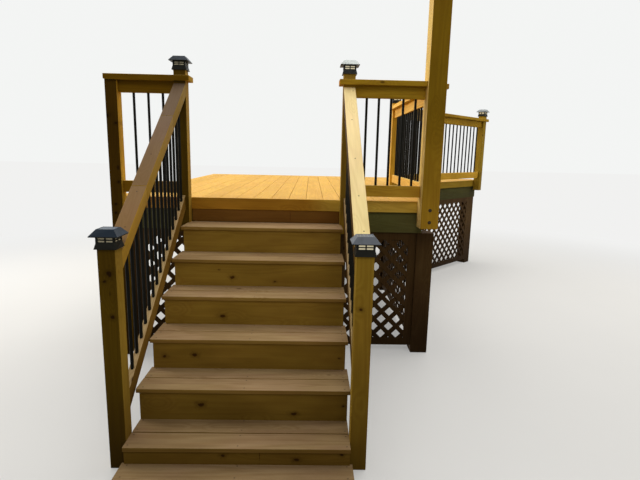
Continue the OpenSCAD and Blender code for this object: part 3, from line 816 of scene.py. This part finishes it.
class STAIR_OT_landing(bpy.types.Operator):
    """Stain the landing's boards, its edge, its frame and the lattice"""

    bl_idname = "stair.landing"
    bl_label = "Landing"

    def execute(self, context):
        stain = context.scene.stair_stain
        ease = context.scene.stair_sizes.easing
        deck = stained_pine(
            "Deck pine", all_round(stain.deck)._replace(front=stain.fascia), ALONG_Y,
            cell=(DECK_PITCH, WIDE, WIDE), start=(DECK_LINE, WIDE_START, WIDE_START), contrast=0.6,
            knots=0.5, blotches=0.25
        )
        finish_nodes(["decking"], deck, ease / 2)
        # Edge boards: painted shade on the fronts between the newels and towards the left, sunlit
        # tone at the right end
        edge = stained_pine(
            "Edge board pine", Tones(stain.fascia, stain.sun, stain.wing_post, stain.deck),
            ALONG_X, [PAST_FRONT, PAST_CORNER], cell=(EDGE_BOARD, WIDE, WIDE),
            start=(-EDGE_BOARD / 2, WIDE_START, WIDE_START), contrast=0.7, shady=(0.64, 0.46, 0.28)
        )
        finish_nodes(["fascia"], edge, ease)
        tones = all_round(stain.rim)
        rim_x = stained_pine("Rim pine across", tones, ALONG_X, contrast=0.6, knots=0.3)
        finish_nodes(["front_rim", "back_rim"], rim_x, ease)
        # Painted shade: the rim's faces that look aside, such as the wing's, are darker
        tones = tones._replace(side=Vector(stain.rim) * 0.6)
        rim_y = stained_pine(
            "Rim pine back", tones, ALONG_Y, [PAST_CORNER], contrast=0.6, knots=0.3
        )
        finish_nodes(["side_rim", "ledger"], rim_y, ease)
        tones = all_round(stain.frame)
        frame_x = stained_pine("Framing pine across", tones, ALONG_X, cell=(WIDE, 0.4, WIDE))
        finish_nodes(["joists", "hanger_board"], frame_x, ease)
        frame_z = stained_pine("Framing pine upright", tones, ALONG_Z, cell=(1.2, 1.2, WIDE))
        finish_nodes(["support_posts"], frame_z, ease)
        finish_nodes(LATTICES, frame_z, ease / 3)
        return {"FINISHED"}


class STAIR_OT_handrails(bpy.types.Operator):
    """Cut the handrails from timber; the left one is in lengths that meet at butt joints"""

    bl_idname = "stair.handrails"
    bl_label = "Handrails"

    def execute(self, context):
        stain = context.scene.stair_stain
        # Shaded fronts and lit or shaded sides and tops: painted light and shade on the handrails
        tones = {
            "left": Tones(stain.shade, stain.sun, stain.lit_left_rail_side, stain.shaded_left_rail_top),
            "right": Tones(stain.shade, stain.shaded_right_rail_side, stain.sun, stain.sunlit_right_rail_top),
        }
        for side in ("left", "right"):
            node = "handrail_" + side
            rail = self.rail(*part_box(node), RAIL_JOINTS[side], context.scene.stair_sizes)
            rail.name = "sloping_" + node
            pine = stained_pine(
                "Handrail pine " + side, tones[side], ALONG_FLIGHT, contrast=0.35, knots=0.3,
                blotches=0.3, fade=RAIL_PAINTED_SHADE[side]
            )
            settle(rail, pine)
            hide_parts(node)
        return {"FINISHED"}

    def rail(self, low, high, joints, sizes):
        """Lengths of rail from the lower newel to the upper one."""
        cuts = [0.0, *joints, 1.0]
        lengths = []
        for start, end in zip(cuts, cuts[1:]):
            y0 = low.y + start * (high.y - low.y) + (sizes.joint / 2 if start else 0.0)
            y1 = low.y + end * (high.y - low.y) - (sizes.joint / 2 if end < 1.0 else 0.0)
            lengths.append(self.length_of_rail(low, high, y0, y1, sizes.easing))
        return united(lengths, "rail")

    def length_of_rail(self, low, high, y0, y1, easing):
        """One straight length: a block whose upper end is lifted to the slope."""
        thick = (high.z - low.z) - SLOPE * (high.y - low.y)
        bottom = low.z + SLOPE * (y0 - low.y)
        select_only()
        bpy.ops.mesh.primitive_cube_add(
            size=1.0, location=((low.x + high.x) / 2, (y0 + y1) / 2, bottom + thick / 2)
        )
        piece = bpy.context.active_object
        piece.scale = (high.x - low.x, y1 - y0, thick)
        apply_place()
        bpy.ops.object.mode_set(mode="EDIT")
        bpy.ops.mesh.select_mode(type="VERT")
        mesh = bmesh.from_edit_mesh(piece.data)
        for vertex in mesh.verts:
            vertex.select = vertex.co.y > (y0 + y1) / 2
        mesh.select_flush_mode()
        bmesh.update_edit_mesh(piece.data)
        bpy.ops.transform.translate(value=(0.0, 0.0, SLOPE * (y1 - y0)))
        bpy.ops.mesh.select_all(action="SELECT")
        bpy.ops.mesh.bevel(offset=easing, segments=3, affect="EDGES")
        bpy.ops.object.mode_set(mode="OBJECT")
        bpy.ops.object.shade_smooth_by_angle(angle=radians(40))
        return piece


class STAIR_OT_fastenings(bpy.types.Operator):
    """Drive screws into the treads, the landing and the handrails, and bolts through the post"""

    bl_idname = "stair.fastenings"
    bl_label = "Screws and bolts"

    def execute(self, context):
        sizes = context.scene.stair_sizes
        tone = context.scene.stair_plastic.steel
        steel = coated("Coated screw steel", tone, 0.5, metallic=0.3)
        for name, heads in (
            ("tread_screws", self.tread_screws),
            ("deck_screws", self.deck_screws),
            ("handrail_screws", self.handrail_screws),
            ("rail_screws", self.rail_screws),
            ("post_bolts", self.post_bolts),
        ):
            settle(united(heads(sizes), name), steel)
        return {"FINISHED"}

    def screw(self, sizes):
        """A countersunk head with a recess for the driver, all but flush with the wood."""
        select_only()
        bpy.ops.mesh.primitive_cylinder_add(
            vertices=10, radius=sizes.screw_head / 2, depth=HEAD_DEPTH, location=(0, 0, 0)
        )
        head = bpy.context.active_object
        bpy.ops.object.mode_set(mode="EDIT")
        bpy.ops.mesh.select_mode(type="FACE")
        mesh = bmesh.from_edit_mesh(head.data)
        for face in mesh.faces:
            face.select = face.normal.z > 0.9
        bmesh.update_edit_mesh(head.data)
        bpy.ops.mesh.inset(thickness=sizes.screw_head * RECESS_RIM, depth=0.0)
        bpy.ops.mesh.inset(thickness=0.1 * MM, depth=-RECESS_DEPTH)
        bpy.ops.object.mode_set(mode="OBJECT")
        return head

    def tread_screws(self, sizes):
        """Two screws in each plank over each stringer."""
        places = []
        for name in TREADS:
            low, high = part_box(name)
            board = (high.y - low.y) / 2
            for side in ("left", "middle", "right"):
                for start in (low.y, low.y + board):
                    for y in (start + sizes.screw_inset, start + board - sizes.screw_inset):
                        places.append((middle("stringer_" + side).x, y, high.z - HEAD_SUNK))
        return copies(self.screw(sizes), places)

    def deck_screws(self, sizes):
        """Two screws in each board over each joist, within the landing's slanted outline."""
        low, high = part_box("decking")
        rows = [low.y + JOIST / 2, high.y - JOIST / 2]
        first_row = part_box("joists")[0].y + JOIST / 2
        count = round((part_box("joists")[1].y - first_row) / JOIST_PITCH)
        rows += [first_row + index * JOIST_PITCH for index in range(count + 1)]
        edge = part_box("side_rim")[0].x
        lean, _, limit = wing_line()
        corner = limit - lean * edge
        places = []
        for board in DECK_BOARDS:
            for x in (
                DECK_LINE + board * DECK_PITCH + DECK_SCREW_INSET,
                DECK_LINE + (board + 1) * DECK_PITCH - DECK_SCREW_INSET,
            ):
                for y in rows:
                    inside = x < edge - EDGE_ROOM or y > corner + (x - edge) + CORNER_ROOM
                    if low.x + END_ROOM < x < high.x - END_ROOM and inside:
                        places.append((x, y, high.z - HEAD_SUNK))
        return copies(self.screw(sizes), places)

    def handrail_screws(self, sizes):
        """A row of screws from above in each handrail."""
        places = []
        for side in ("left", "right"):
            low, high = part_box("handrail_" + side)
            x = (low.x + high.x) / 2
            for share, offset in HANDRAIL_SCREWS:
                y = low.y + share * (high.y - low.y)
                z = high.z - SLOPE * (high.y - y)
                places.append((x + offset, y, z - RAIL_HEAD_SUNK))
        return copies(self.screw(sizes), places, ALONG_FLIGHT)

    def rail_screws(self, sizes):
        """Two screws through the front of the right top rail, beside the tall post."""
        low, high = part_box("front_guard_rails")
        places = [
            (high.x - RAIL_SCREW_INSET, low.y + HEAD_SUNK, high.z - drop)
            for drop in RAIL_SCREW_DROPS
        ]
        return copies(self.screw(sizes), places, TO_FRONT)

    def post_bolts(self, sizes):
        """Two lag bolts with washers, low on the tall post."""
        low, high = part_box("tall_post")
        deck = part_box("decking")[1].z
        places = [((low.x + high.x) / 2, low.y, deck - drop) for drop in BOLT_DROPS]
        parts = []
        for vertices, width, depth, out in (
            (28, sizes.washer, WASHER_DEPTH, 0.0), (6, sizes.bolt_head, BOLT_DEPTH, BOLT_OUT)
        ):
            select_only()
            bpy.ops.mesh.primitive_cylinder_add(
                vertices=vertices, radius=width / 2, depth=depth, rotation=TO_FRONT,
                location=(0, -out, 0)
            )
            apply_place()
            parts.append(bpy.context.active_object)
        bpy.ops.object.mode_set(mode="EDIT")
        bpy.ops.mesh.select_all(action="SELECT")
        bpy.ops.mesh.bevel(offset=BOLT_EASING, segments=2, affect="EDGES")
        bpy.ops.object.mode_set(mode="OBJECT")
        return copies(united(parts, "bolt"), places)


class STAIR_OT_lanterns(bpy.types.Operator):
    """Finish the lantern caps, their lenses and their solar panels"""

    bl_idname = "stair.lanterns"
    bl_label = "Lantern caps"

    def execute(self, context):
        tones = context.scene.stair_plastic
        roofs = (tones.shaded_roof, tones.roof, tones.sunlit_roof)
        cap = coated("Moulded black", tones.cap, 0.40, roofs=roofs)
        finish_nodes(["post_caps"], cap, CAP_EASING)
        finish_nodes(["cap_lenses"], coated("Frosted lens", tones.lens, 0.30, painted_glow=0.6))
        finish_nodes(["solar_panels"], solar_cells(tones.cell, tones.cell_line))
        return {"FINISHED"}


class STAIR_OT_studio(bpy.types.Operator):
    """Lay the floor, hang the lamps and place the camera"""

    bl_idname = "stair.studio"
    bl_label = "Studio"

    def execute(self, context):
        studio = context.scene.stair_studio
        self.floor(studio)
        self.sky(studio)
        self.lamps(studio)
        self.camera(studio)
        context.scene.view_settings.view_transform = "Standard"
        return {"FINISHED"}

    def seen_rays(self, tree):
        """One for rays that show the studio: straight, by a reflection or through glass."""
        rays = tree.add("ShaderNodeLightPath").outputs
        seen = tree.math("MAXIMUM", rays["Is Camera Ray"], rays["Is Glossy Ray"])
        return tree.math("MAXIMUM", seen, rays["Is Transmission Ray"])

    def floor(self, studio):
        """A floor that is pale to the camera and fades into the backdrop far away."""
        low, high = CAD_BOX
        centre = (low + high) / 2
        select_only()
        bpy.ops.mesh.primitive_plane_add(
            size=FLOOR_SIZE, location=(0, FLOOR_AHEAD, low.z - FLOOR_GAP)
        )
        apply_place()
        ground = bpy.context.active_object
        ground.name = "studio_floor"
        material, tree, shader = new_material("Studio floor")
        place = tree.place()
        cloud = tree.noise(place, (0.6,) * 3, 3.0)
        pale = tree.mix(cloud, Vector(studio.floor) * 0.97, studio.floor)
        seen = self.seen_rays(tree)
        tree.fill(shader, {
            "Base Color": tree.mix(seen, studio.bounce, pale),
            "Roughness": 0.9,
            "Specular IOR Level": 0.0,
        })
        spread = tree.stretched(place, (1.0, 1.0, 1.0), centre=(centre.x, centre.y, 0.0))
        far = tree.step(tree.vector("LENGTH", spread), *FLOOR_FADE)
        far = tree.math("MULTIPLY", far, seen)
        backdrop = tree.add("ShaderNodeEmission", {"Color": FAR_FLOOR})
        inputs = {0: far, 1: shader.outputs[0], 2: backdrop.outputs[0]}
        blend = tree.add("ShaderNodeMixShader", inputs)
        tree.fill(tree.nodes["Material Output"], {"Surface": blend.outputs[0]})
        ground.data.materials.append(material)

    def sky(self, studio):
        """Soft light from all round, behind a plain pale backdrop."""
        world = bpy.data.worlds.new("Studio sky")
        bpy.context.scene.world = world
        world.use_nodes = True
        tree = Tree(world.node_tree)
        light = tree.nodes["Background"]
        tree.fill(light, {"Color": SKY_TONE, "Strength": studio.sky})
        backdrop = tree.add("ShaderNodeBackground", {"Color": BACKDROP})
        inputs = {0: self.seen_rays(tree), 1: light.outputs[0], 2: backdrop.outputs[0]}
        switch = tree.add("ShaderNodeMixShader", inputs)
        tree.fill(tree.nodes["World Output"], {"Surface": switch.outputs[0]})

    def lamps(self, studio):
        """Wide lamps, each aimed at a place on the stair."""
        for name, place, aim, size, tone in LAMPS:
            lamp = bpy.data.lights.new(name, "AREA")
            lamp.energy = getattr(studio, name.lower())
            lamp.size = size
            lamp.color = tone
            holder = bpy.data.objects.new(name, lamp)
            holder.location = place
            look = Vector(aim) - Vector(place)
            holder.rotation_euler = look.to_track_quat("-Z", "Y").to_euler()
            holder.visible_camera = False
            bpy.context.scene.collection.objects.link(holder)

    def camera(self, studio):
        """The camera, turned, dipped and rolled at its place."""
        data = bpy.data.cameras.new("Camera")
        data.sensor_width = 36.0
        data.lens = studio.lens
        data.clip_end = 200.0
        eye = bpy.data.objects.new("Camera", data)
        turn = Euler((0, 0, -studio.heading)).to_matrix()
        turn = turn @ Euler((-studio.tilt, 0, 0)).to_matrix()
        turn = turn @ Euler((0, studio.roll, 0)).to_matrix()
        turn = turn @ Euler((radians(90), 0, 0)).to_matrix()
        eye.matrix_world = turn.to_4x4()
        eye.location = studio.eye
        bpy.context.scene.collection.objects.link(eye)
        bpy.context.scene.camera = eye


class STAIR_PT_panel(bpy.types.Panel):
    """Steps and settings of the stair"""

    bl_idname = "STAIR_PT_panel"
    bl_label = "Deck stair"
    bl_space_type = "VIEW_3D"
    bl_region_type = "UI"
    bl_category = "Stair"

    def draw(self, context):
        layout = self.layout
        for operator in STEPS:
            layout.operator(operator.bl_idname)
        for group in SETTINGS:
            settings = getattr(context.scene, group)
            box = layout.box()
            for name in settings.bl_rna.properties.keys():
                if name not in {"rna_type", "name"}:
                    box.prop(settings, name)


STEPS = (
    STAIR_OT_posts,
    STAIR_OT_guards,
    STAIR_OT_flight,
    STAIR_OT_landing,
    STAIR_OT_handrails,
    STAIR_OT_fastenings,
    STAIR_OT_lanterns,
    STAIR_OT_studio,
)
SETTINGS = {
    "stair_stain": StainColours,
    "stair_plastic": MetalAndPlasticColours,
    "stair_sizes": CarpentrySizes,
    "stair_studio": StudioSettings,
}


def register():
    for item in (*SETTINGS.values(), *STEPS, STAIR_PT_panel):
        bpy.utils.register_class(item)
    for name, group in SETTINGS.items():
        setattr(bpy.types.Scene, name, PointerProperty(type=group))


def unregister():
    for name in SETTINGS:
        delattr(bpy.types.Scene, name)
    for item in reversed((*SETTINGS.values(), *STEPS, STAIR_PT_panel)):
        bpy.utils.unregister_class(item)


def main():
    register()
    pine_figure()
    bpy.ops.stair.posts()
    bpy.ops.stair.guards()
    bpy.ops.stair.flight()
    bpy.ops.stair.landing()
    bpy.ops.stair.handrails()
    bpy.ops.stair.fastenings()
    bpy.ops.stair.lanterns()
    bpy.ops.stair.studio()


if __name__ == "__main__":
    main()
